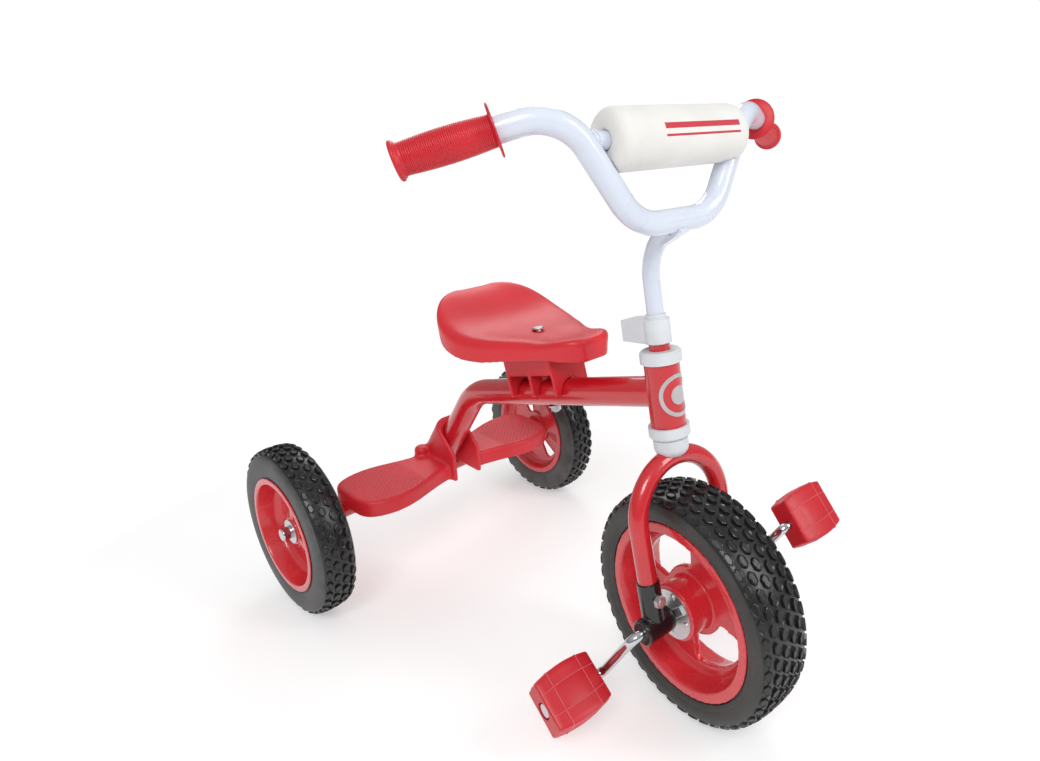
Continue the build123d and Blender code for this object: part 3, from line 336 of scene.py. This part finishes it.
chromePlate = platedSteel("chrome plated steel", "D0D2D6", 0.1, streak=0.05, relief=0.00001)
badgeFoil = platedSteel("silver foil badge", "D8D4D6", 0.42)

slotFinish = {
    "red_powder_coat": redCoat, "white_powder_coat": whiteCoat, "red_moulding": seatPlastic,
    "white_moulding": whitePlastic, "black_moulding": blackPlastic, "tyre": frontTyreSkin,
    "red_grip": gripVinyl, "white_foam": whitePlastic, "zinc_steel": zincPlate,
    "chrome_steel": chromePlate,
}
for subpart in frame["record"]["subparts"]:
    node = nodes[subpart["node"]]
    node.data.materials.clear()
    node.data.materials.append(slotFinish[subpart["material_slot"]])
for name in ("front_rim", "rear_rim_right", "rear_rim_left"):
    nodes[name].data.materials[0] = rimPlastic
nodes["step_deck"].data.materials[0] = deckPlastic
for name in ("pedal_right", "pedal_left"):
    nodes[name].data.materials[0] = pedalPlastic
nodes["head_badge"].data.materials[0] = badgeFoil


# tyres
def treadBlock(bm, shape, row, place):
    # a six sided pad with a bevelled rim and a slightly sunk top
    before = set(bm.verts)
    size = Matrix.Diagonal((row["width"] * mm / 2, shape["blockLength"] * mm / 2, 1, 1))
    bmesh.ops.create_circle(bm, cap_ends=True, segments=6, radius=1.0, matrix=place @ size)
    face = [f for f in bm.faces if not set(f.verts) & before][0]
    outward = place.to_3x3() @ Vector((0, 0, 1))
    rise = (shape["blockHeight"] + shape["blockRoot"]) * mm
    grown = bmesh.ops.extrude_face_region(bm, geom=[face])["geom"]
    top = [g for g in grown if isinstance(g, bmesh.types.BMFace)][0]
    bmesh.ops.translate(bm, verts=top.verts[:], vec=outward * rise)
    bmesh.ops.inset_region(bm, faces=[top], thickness=0.7 * mm, depth=0.4 * mm)
    bmesh.ops.inset_region(bm, faces=[top], thickness=1.1 * mm, depth=-0.9 * mm)
    bmesh.ops.delete(bm, geom=[face], context="FACES_ONLY")
    return [v for v in bm.verts if v not in before]


def addTread(bm, shape):
    count = shape["blocks"]
    for row in shape["rows"]:
        for side in (-1, 1):
            lean = math.radians(row["lean"]) * side
            turn = 2 * math.pi / count * (row["stagger"] + (0.5 if side > 0 else 0))
            place = (Matrix.Rotation(turn, 4, "Y")
                     @ Matrix.Translation((0, side * row["out"] * mm, row["radius"] * mm))
                     @ Matrix.Rotation(-lean, 4, "X")
                     @ Matrix.Translation((0, 0, -shape["blockRoot"] * mm))
                     @ Matrix.Rotation(math.pi / 2, 4, "Z"))
            block = treadBlock(bm, shape, row, place)
            faces = set(f for v in block for f in v.link_faces)
            edges = set(e for v in block for e in v.link_edges)
            bmesh.ops.spin(bm, geom=block + list(edges) + list(faces), cent=(0, 0, 0),
                           axis=(0, 1, 0), angle=2 * math.pi * (count - 1) / count,
                           steps=count - 1, use_duplicate=True)


def addTyre(name, shape, place, body, material, node):
    bm = turnedShape(shape["profile"], 144)
    addTread(bm, shape)
    for face in bm.faces:
        middle = face.calc_center_median()
        face.material_index = int(math.hypot(middle.x, middle.z) > shape["shoulder"] * mm)
    piece = finishPiece(name, meshFrom(bm, name, place), body, material, [node],
                        smooth=32)
    piece.data.materials.append(treadSkin)


frontTyre = {
    # half of the section from the bead outwards, radius and distance from the middle, in mm
    "half": [(91, 26.7), (96.9, 26.9), (97.6, 29.0), (100.2, 30.6), (102.2, 31.3), (103.0, 31.3),
             (103.8, 31.9), (109.0, 32.7), (113.5, 32.4), (117.0, 30.8), (120.3, 28.0),
             (122.2, 23.0), (123.3, 16.0), (123.8, 8.0)],
    "crown": 124.0, "shoulder": 117.0, "blocks": 46, "blockLength": 14.2,
    "blockHeight": 2.4, "blockRoot": 1.6,
    "rows": [{"out": 5.9, "radius": 124.0, "lean": 3, "width": 8.6, "stagger": 0.0},
             {"out": 16.8, "radius": 123.1, "lean": 11, "width": 8.4, "stagger": 0.5},
             {"out": 26.4, "radius": 119.9, "lean": 38, "width": 8.4, "stagger": 0.0}],
}
rearTyre = {
    "half": [(70.5, 19.7), (74.6, 19.8), (75.4, 20.4), (78.0, 21.2), (84.0, 21.6), (92.0, 21.4),
             (98.0, 20.6), (101.5, 18.4), (103.6, 14.6), (105.1, 9.0)],
    "crown": 105.6, "shoulder": 101.5, "blocks": 39, "blockLength": 12.6,
    "blockHeight": 2.2, "blockRoot": 1.5,
    "rows": [{"out": 4.9, "radius": 105.5, "lean": 4, "width": 8.2, "stagger": 0.0},
             {"out": 13.6, "radius": 103.9, "lean": 24, "width": 8.0, "stagger": 0.5}],
}
for shape in (frontTyre, rearTyre):
    mirrored = [(r, -y) for r, y in reversed(shape["half"])]
    shape["profile"] = shape["half"] + [(shape["crown"], 0)] + mirrored
print("tyres")
addTyre("front_tyre_moulding", frontTyre, forkPlace, "front_wheel", frontTyreSkin, "front_tyre")
for side in ("right", "left"):
    addTyre("rear_tyre_moulding_" + side, rearTyre, wheelPlace("rear_" + side + "_spin"),
            "rear_" + side + "_wheel", rearTyreSkin, "rear_tyre_" + side)


# grips
grip = {"start": 53.0, "length": 78.0, "ribs": 44, "ribDepth": 0.35, "end": 12.6, "belly": 14.1,
        "flange": 21.0, "flangeThick": 1.8, "lip": 15.6, "lipThick": 3.0, "bore": 11.25,
        "corner": (43.0, 106.0, 491.0), "back": 30.0, "down": 11.5}


def gripProfile():
    # flange, a ribbed belly and a rolled lip, as (radius, along) corners
    ribStart = grip["flangeThick"] + 1.2
    ribEnd = grip["length"] - grip["lipThick"] - 3.0
    pitch = (ribEnd - ribStart) / grip["ribs"]
    corners = [(grip["bore"], 0), (grip["flange"] - 0.6, 0), (grip["flange"], 0.5),
               (grip["flange"], grip["flangeThick"] - 0.5), (grip["flange"] - 0.6, grip["flangeThick"]),
               (grip["end"] + 0.9, grip["flangeThick"] + 0.1)]
    for step in range(grip["ribs"]):
        share = (step + 0.5) / grip["ribs"]
        swell = (grip["belly"] - grip["end"]) * math.sin(math.pi * share)
        radius = grip["end"] + swell
        low = ribStart + step * pitch
        corners += [(radius - grip["ribDepth"], low), (radius, low + pitch * 0.3),
                    (radius, low + pitch * 0.75)]
    end = grip["length"]
    corners += [(grip["end"], ribEnd + 0.6), (grip["lip"] - 0.5, end - grip["lipThick"]),
                (grip["lip"], end - grip["lipThick"] + 0.6), (grip["lip"], end - 0.8),
                (grip["lip"] - 0.8, end), (4.0, end), (2.5, end - 1.0), (0, end - 1.0)]
    return corners


def gripPlace(side):
    back = math.radians(grip["back"])
    down = math.radians(grip["down"])
    along = Vector((-math.sin(back) * math.cos(down), side * math.cos(back) * math.cos(down),
                    -math.sin(down)))
    corner = Vector(grip["corner"]) * mm
    corner.y *= side
    upAxis = (Vector((0, 0, 1)) - along * along.z).normalized()
    start = corner + along * grip["start"] * mm
    return steering @ axesMatrix(start, along.cross(upAxis), along, upAxis)


def addGrip(name, side):
    bm = turnedShape(gripProfile(), 56, closed=False)
    finishPiece(name + "_moulding", meshFrom(bm, name, gripPlace(side)), "steering", gripVinyl,
                [name], smooth=50)


print("grips")
addGrip("grip_right", -1)
addGrip("grip_left", 1)


# softened mouldings
def softenedCopy(node, voxel, rounds, factor=0.5):
    # the moulding's corners rounded as the tool would round them: fine remesh, then relax
    mesh = nodes[node].data.copy()
    bm = bmesh.new()
    bm.from_mesh(mesh)
    bmesh.ops.remove_doubles(bm, verts=bm.verts, dist=0.00001)
    bm.to_mesh(mesh)
    bm.free()
    blank = bpy.data.objects.new(node + "_blank", mesh)
    bpy.context.scene.collection.objects.link(blank)
    remesh = blank.modifiers.new("remesh", "REMESH")
    remesh.mode = "VOXEL"
    remesh.voxel_size = voxel * mm
    relax = blank.modifiers.new("relax", "SMOOTH")
    relax.factor = factor
    relax.iterations = rounds
    evaluated = blank.evaluated_get(bpy.context.evaluated_depsgraph_get())
    result = bpy.data.meshes.new_from_object(evaluated)
    bpy.data.objects.remove(blank)
    return result


mouldings = {
    "seat_shell": {"voxel": 1.2, "rounds": 12, "finish": seatPlastic, "body": "frame"},
    "step_deck": {"voxel": 1.5, "rounds": 18, "finish": deckPlastic, "body": "frame"},
    "seat_mount": {"voxel": 1.2, "rounds": 4, "finish": seatPlastic, "body": "frame"},
    "clamp_cover": {"voxel": 0.6, "rounds": 4, "finish": whitePlastic, "body": "steering"},
    "fork_end_right": {"voxel": 0.7, "rounds": 4, "finish": blackPlastic, "body": "steering"},
    "fork_end_left": {"voxel": 0.7, "rounds": 4, "finish": blackPlastic, "body": "steering"},
    "front_rim": {"voxel": 1.3, "rounds": 4, "finish": rimPlastic, "body": "front_wheel"},
    "rear_rim_right": {"voxel": 1.1, "rounds": 4, "finish": rimPlastic, "body": "rear_right_wheel"},
    "rear_rim_left": {"voxel": 1.1, "rounds": 4, "finish": rimPlastic, "body": "rear_left_wheel"},
}
print("softened mouldings")
for name, moulding in mouldings.items():
    mesh = softenedCopy(name, moulding["voxel"], moulding["rounds"])
    finishPiece(name + "_moulding", mesh, moulding["body"], moulding["finish"], [name],
                smooth=60)
# a closed cell roll with its two ends eased, over the crossbar
pad = {"voxel": 1.3, "rounds": 4, "centre": (43.0, 0.0, 466.0)}
padPlace = steering @ Matrix.Translation(Vector(pad["centre"]) * mm)
padBands = {"centre": 22.0, "halfLength": 46.0, "ink": "C23040", "bands": [(7.0, 5.0), (-1.0, 2.0)]}
foam = closedCellFoam("closed cell foam, white", "ECEBE8", "DDDBD6", padPlace, padBands)
roll = finishPiece("crossbar_pad_roll", softenedCopy("crossbar_pad", pad["voxel"], pad["rounds"]),
                   "steering", foam, ["crossbar_pad"], smooth=60)


# pedals: a barrel block with fine ribs round it, square to each other
pedal = {"length": 62.0, "width": 57.0, "height": 32.0, "endWidth": 49.0, "endHeight": 26.0,
         "corner": 2.2, "rib": 0.45, "ribRise": 0.9, "ringOut": 17.0, "faceOut": 12.5, "sideOut": 6.5,
         "bore": 5.35, "mouth": 8.8, "mouthDepth": 9.0,
         "tilt": {"right": -42.0, "left": -56.0}}


def throughCut(mesh, cutters):
    # the mesh with round bars taken out of it, each (radius, from, to) along Y
    blank = bpy.data.objects.new("blank", mesh)
    bpy.context.scene.collection.objects.link(blank)
    tools = []
    for radius, start, end in cutters:
        bm = bmesh.new()
        bmesh.ops.create_cone(bm, cap_ends=True, segments=32, radius1=radius * mm,
                              radius2=radius * mm, depth=(end - start) * mm,
                              matrix=Matrix.Translation((0, (start + end) / 2 * mm, 0))
                              @ Matrix.Rotation(math.pi / 2, 4, "X"))
        tool = bpy.data.objects.new("tool", meshFrom(bm, "tool"))
        bpy.context.scene.collection.objects.link(tool)
        cut = blank.modifiers.new("cut", "BOOLEAN")
        cut.object = tool
        cut.solver = "EXACT"
        tools.append(tool)
    evaluated = blank.evaluated_get(bpy.context.evaluated_depsgraph_get())
    result = bpy.data.meshes.new_from_object(evaluated)
    for thing in [blank] + tools:
        bpy.data.objects.remove(thing)
    return result


def cutPlanes(bm, axis, places):
    normal = [0, 0, 0]
    normal[axis] = 1
    for place in places:
        point = [c * place * mm for c in normal]
        bmesh.ops.bisect_plane(bm, geom=bm.verts[:] + bm.edges[:] + bm.faces[:], plane_co=point,
                               plane_no=normal, dist=0.00001)


def ribCuts(out, rib):
    return [side * (out + step * rib) for side in (-1, 1) for step in (-1, 0, 1)]


def pedalBlock():
    bm = bmesh.new()
    bmesh.ops.create_cube(bm, size=1.0)
    bmesh.ops.scale(bm, vec=(pedal["width"] * mm, pedal["length"] * mm, pedal["height"] * mm),
                    verts=bm.verts)
    bmesh.ops.bevel(bm, geom=bm.edges[:], offset=pedal["corner"] * mm, affect="EDGES", segments=2,
                    profile=0.5, material=-1)
    even = [pedal["length"] * share for share in (-0.4, -0.2, -0.1, 0, 0.1, 0.2, 0.4)]
    cutPlanes(bm, 1, ribCuts(pedal["ringOut"], pedal["rib"]) + even)
    cutPlanes(bm, 0, ribCuts(pedal["faceOut"], pedal["rib"]) + [-22.0, -7.5, 0.0, 7.5, 22.0])
    cutPlanes(bm, 2, ribCuts(pedal["sideOut"], pedal["rib"]) + [0.0])
    bm.normal_update()
    raised = {}
    for vert in bm.verts:
        x, y, z = (c / mm for c in vert.co)
        flat = abs(z) > pedal["height"] / 2 - 0.1
        side = abs(x) > pedal["width"] / 2 - 0.1
        end = abs(y) > pedal["length"] / 2 - 0.1
        onRing = abs(abs(y) - pedal["ringOut"]) < 0.05 and not end
        onFace = abs(abs(x) - pedal["faceOut"]) < 0.05 and flat
        onSide = abs(abs(z) - pedal["sideOut"]) < 0.05 and side
        rise = pedal["ribRise"] if onRing or onFace or onSide else 0.0
        inPanel = flat and abs(x) < 9 and abs(y) < 14
        raised[vert] = rise + (0.5 if inPanel else 0.0) - (0 if end else 0.3)
    for vert, rise in raised.items():
        vert.co += vert.normal * rise * mm
    # faces on the raised ribs take the second, lighter finish: a painted highlight along the ridges
    for face in bm.faces:
        face.material_index = int(any(raised[vert] > 0.55 for vert in face.verts))
    narrow = 1 - pedal["endWidth"] / pedal["width"]
    thin = 1 - pedal["endHeight"] / pedal["height"]
    for vert in bm.verts:
        share = (2 * vert.co.y / (pedal["length"] * mm)) ** 2
        vert.co.x *= 1 - narrow * share
        vert.co.z *= 1 - thin * share
    return bm


def pedalPlace(side):
    spin = joints[side + "_pedal_spin"]
    place = steeringPlace()
    place.translation = Vector(spin["pos_m"])
    return place @ Matrix.Rotation(math.radians(-pedal["tilt"][side]), 4, "Y")


def addPedal(side, sign):
    name = "pedal_" + side
    mesh = meshFrom(pedalBlock(), name)
    half = pedal["length"] / 2
    mouth = sorted((sign * (half - pedal["mouthDepth"]), sign * (half + 5)))
    mesh = throughCut(mesh, [(pedal["bore"], -half - 5, half + 5), (pedal["mouth"], *mouth)])
    mesh.transform(pedalPlace(side))
    block = finishPiece(name + "_moulding", mesh, side + "_pedal", pedalPlastic,
                        [name], smooth=28)
    # second slot: the lighter rib colour, a painted highlight
    block.data.materials.append(ribHighlightPlastic)


print("pedals")
addPedal("right", -1)
addPedal("left", 1)


# head badge: a plain silver ring and dot rolled to the head tube
badge = {"tubeRadius": 18.05, "outer": 21.5, "inner": 17.5, "dot": 9.5, "thick": 0.45, "height": 224.5}


def wrapped(bm, radius, place):
    for vert in bm.verts:
        angle = vert.co.x / radius
        depth = radius + vert.co.z
        vert.co = place @ Vector((depth * math.cos(angle), depth * math.sin(angle), vert.co.y))


def headPlace():
    # the head tube keeps to the middle plane, so it is not turned with the bars
    upAxis = Vector(joints["steer"]["axis"]).normalized()
    sideAxis = Vector((0, 1, 0))
    return axesMatrix(Vector(joints["steer"]["pos_m"]), sideAxis.cross(upAxis), sideAxis, upAxis)


def addBadge():
    bm = bmesh.new()
    for radius in (badge["inner"], badge["outer"]):
        bmesh.ops.create_circle(bm, segments=96, radius=radius * mm)
    bmesh.ops.bridge_loops(bm, edges=bm.edges[:])
    bmesh.ops.create_circle(bm, cap_ends=True, cap_tris=True, segments=48, radius=badge["dot"] * mm)
    bmesh.ops.subdivide_edges(bm, edges=bm.edges[:], cuts=3, use_grid_fill=True)
    grown = bmesh.ops.extrude_face_region(bm, geom=bm.faces[:])["geom"]
    top = [g for g in grown if isinstance(g, bmesh.types.BMVert)]
    bmesh.ops.translate(bm, verts=top, vec=(0, 0, badge["thick"] * mm))
    wrapped(bm, badge["tubeRadius"] * mm, headPlace() @ Matrix.Translation((0, 0, badge["height"] * mm)))
    finishPiece("head_badge_foil", meshFrom(bm, "badge"), "frame", badgeFoil,
                ["head_badge"])


print("badge and welds")
addBadge()


# weld beads: overlapping ripples round the two crossbar joints and the stem joint of the bars
def addBead(name, centre, axis, radius, body, material, bead=1.7):
    # ripples of weld metal on a ring about the axis
    bm = bmesh.new()
    count = int(2 * math.pi * radius / 1.9)
    axis = Vector(axis).normalized()
    across = axis.orthogonal().normalized()
    other = axis.cross(across)
    for step in range(count):
        turn = 2 * math.pi * step / count
        out = across * math.cos(turn) + other * math.sin(turn)
        place = axesMatrix(Vector(centre) + out * radius * mm, axis.cross(out), out, axis)
        size = Matrix.Diagonal((bead * mm, bead * mm * 0.8, bead * mm, 1))
        bmesh.ops.create_icosphere(bm, subdivisions=1, radius=1.0, matrix=place @ size)
    finishPiece(name, meshFrom(bm, name), body, material, smooth=80)


def steeringPoint(x, y, z):
    return steering @ (Vector((x, y, z)) * mm)


bar = {"reach": 43.0, "low": 393.0, "crossbar": 466.0, "armAt": 91.1, "tube": 8.1}
for side in (-1, 1):
    centre = steeringPoint(bar["reach"], side * (bar["armAt"] - 12.6), bar["crossbar"])
    addBead("crossbar_bead_" + ("right" if side < 0 else "left"), centre,
            steering.to_3x3() @ Vector((0, 1, 0)), bar["tube"], "steering", whiteCoat)
addBead("stem_bead", steeringPoint(bar["reach"] - 9.0, 0, bar["low"] - 7.0),
        steering.to_3x3() @ Vector((0.83, 0, 0.56)), 8.8, "steering", whiteCoat)


# rear wheels: three tapered ribs stand in the bowl between the windows
rib = {"inner": 17.0, "outer": 57.0, "hubWidth": 13.0, "lipWidth": 21.0, "floor": 4.5, "hubTop": -8.5,
       "lipTop": -3.0, "turns": (30, 150, 270), "round": 1.2}


def addRibs(side, sign):
    bm = bmesh.new()
    for turn in rib["turns"]:
        made = bmesh.ops.create_cube(bm, size=1.0)["verts"]
        for vert in made:
            far = vert.co.x > 0
            wide = rib["lipWidth"] if far else rib["hubWidth"]
            high = rib["lipTop"] if far else rib["hubTop"]
            vert.co = Vector((rib["outer"] if far else rib["inner"],
                              -sign * (rib["floor"] if vert.co.y > 0 else high),
                              vert.co.z * wide)) * mm
        edges = list(set(e for v in made for e in v.link_edges))
        shaped = bmesh.ops.bevel(bm, geom=edges, offset=rib["round"] * mm, affect="EDGES",
                                 segments=2, profile=0.5, material=-1)["verts"]
        bmesh.ops.rotate(bm, verts=list(set(v for v in bm.verts if v in set(shaped))), cent=(0, 0, 0),
                         matrix=Matrix.Rotation(math.radians(turn), 3, "Y"))
    name = "rear_ribs_" + side
    finishPiece(name, meshFrom(bm, name, wheelPlace("rear_" + side + "_spin")),
                "rear_" + side + "_wheel", rimPlastic, smooth=40)


print("wheel ribs")
addRibs("right", -1)
addRibs("left", 1)


# floor, light and camera
def addFloor():
    bm = bmesh.new()
    bmesh.ops.create_grid(bm, x_segments=1, y_segments=1, size=6.0)
    mesh = bpy.data.meshes.new("floor")
    bm.to_mesh(mesh)
    bm.free()
    floor = bpy.data.objects.new("floor", mesh)
    bpy.context.scene.collection.objects.link(floor)
    # matt white studio paper with a barely visible tooth
    material, tree, shader = newMaterial("white studio paper", Roughness=0.9, Specular_IOR_Level=0.1)
    shader.inputs["Base Color"].default_value = (0.97, 0.97, 0.97, 1)
    tooth = addNode(tree, "ShaderNodeTexNoise", {"Vector": objectPoint(tree), "Scale": 400.0})
    bump = addNode(tree, "ShaderNodeBump", {"Height": tooth.outputs["Fac"], "Strength": 0.05,
                                            "Distance": 0.0002})
    tree.links.new(bump.outputs["Normal"], shader.inputs["Normal"])
    # lit paper far from the tricycle glows up to pure white, as a swept backdrop does
    reach = addNode(tree, "ShaderNodeVectorMath", {0: objectPoint(tree)}, operation="LENGTH")
    away = addNode(tree, "ShaderNodeMapRange", {"Value": reach.outputs["Value"], "From Min": 0.45,
                                                "From Max": 1.1}, interpolation_type="SMOOTHSTEP")
    level = addNode(tree, "ShaderNodeMapRange", {"Value": away.outputs["Result"], "To Min": 1.5,
                                                 "To Max": 1.03})
    glow = addNode(tree, "ShaderNodeEmission", {"Color": (1, 1, 1, 1),
                                                "Strength": level.outputs["Result"]})
    near = addNode(tree, "ShaderNodeMath", {0: away.outputs["Result"], 1: 0.26},
                   operation="MAXIMUM")
    sweep = addNode(tree, "ShaderNodeMixShader", {0: near.outputs[0],
                                                  1: shader.outputs["BSDF"],
                                                  2: glow.outputs["Emission"]})
    tree.links.new(sweep.outputs["Shader"], tree.nodes["Material Output"].inputs["Surface"])
    mesh.materials.append(material)


def addSoftbox(name, place, target, size, power):
    light = bpy.data.lights.new(name, "AREA")
    light.shape = "RECTANGLE"
    light.size, light.size_y = size
    light.energy = power
    lamp = bpy.data.objects.new(name, light)
    bpy.context.scene.collection.objects.link(lamp)
    lamp.location = place
    lamp.rotation_euler = (Vector(target) - Vector(place)).to_track_quat("-Z", "Y").to_euler()


def addWorld(strength):
    world = bpy.data.worlds.new("studio")
    bpy.context.scene.world = world
    world.use_nodes = True
    tree = world.node_tree
    background = tree.nodes["Background"]
    # a white sweep to the eye, and a softer ceiling to floor gradient for the light itself
    height = addNode(tree, "ShaderNodeSeparateXYZ",
                     {"Vector": addNode(tree, "ShaderNodeTexCoord").outputs["Generated"]})
    glow = addNode(tree, "ShaderNodeMapRange", {"Value": height.outputs["Z"], "From Min": -0.2,
                                                "From Max": 0.9, "To Min": 0.42 * strength,
                                                "To Max": 1.25 * strength})
    seen = addNode(tree, "ShaderNodeLightPath").outputs["Is Camera Ray"]
    level = addNode(tree, "ShaderNodeMix", {0: seen, 2: glow.outputs["Result"], 3: 1.02})
    background.inputs["Color"].default_value = (1, 1, 1, 1)
    tree.links.new(level.outputs[0], background.inputs["Strength"])


def addCamera():
    # eye 0.62 m up, ahead of the rider's right hand, looking back and down at the tricycle
    eye = Vector((0.60213, -0.49969, 0.62095))
    camera = bpy.data.cameras.new("camera")
    camera.sensor_width = 36
    camera.lens = 24.585
    camera.shift_x = -0.14834
    camera.shift_y = -0.05078
    holder = bpy.data.objects.new("camera", camera)
    bpy.context.scene.collection.objects.link(holder)
    right = Vector((0.77464, 0.63234, 0.00931))
    up = Vector((-0.19774, 0.22820, 0.95332))
    back = right.cross(up)
    holder.matrix_world = axesMatrix(eye, right, up, back)
    bpy.context.scene.camera = holder


print("floor, light and camera")
addFloor()
addSoftbox("key", (1.3, -1.6, 2.2), (0, 0, 0.25), (1.1, 0.9), 30)
addSoftbox("front strip", (1.9, 0.7, 1.5), (0.2, 0, 0.2), (0.5, 1.4), 16)
addSoftbox("rim light", (-1.6, 1.2, 1.8), (0, 0, 0.3), (1.2, 1.2), 12)
addWorld(0.5)
addCamera()
bpy.context.scene.view_settings.view_transform = "Standard"
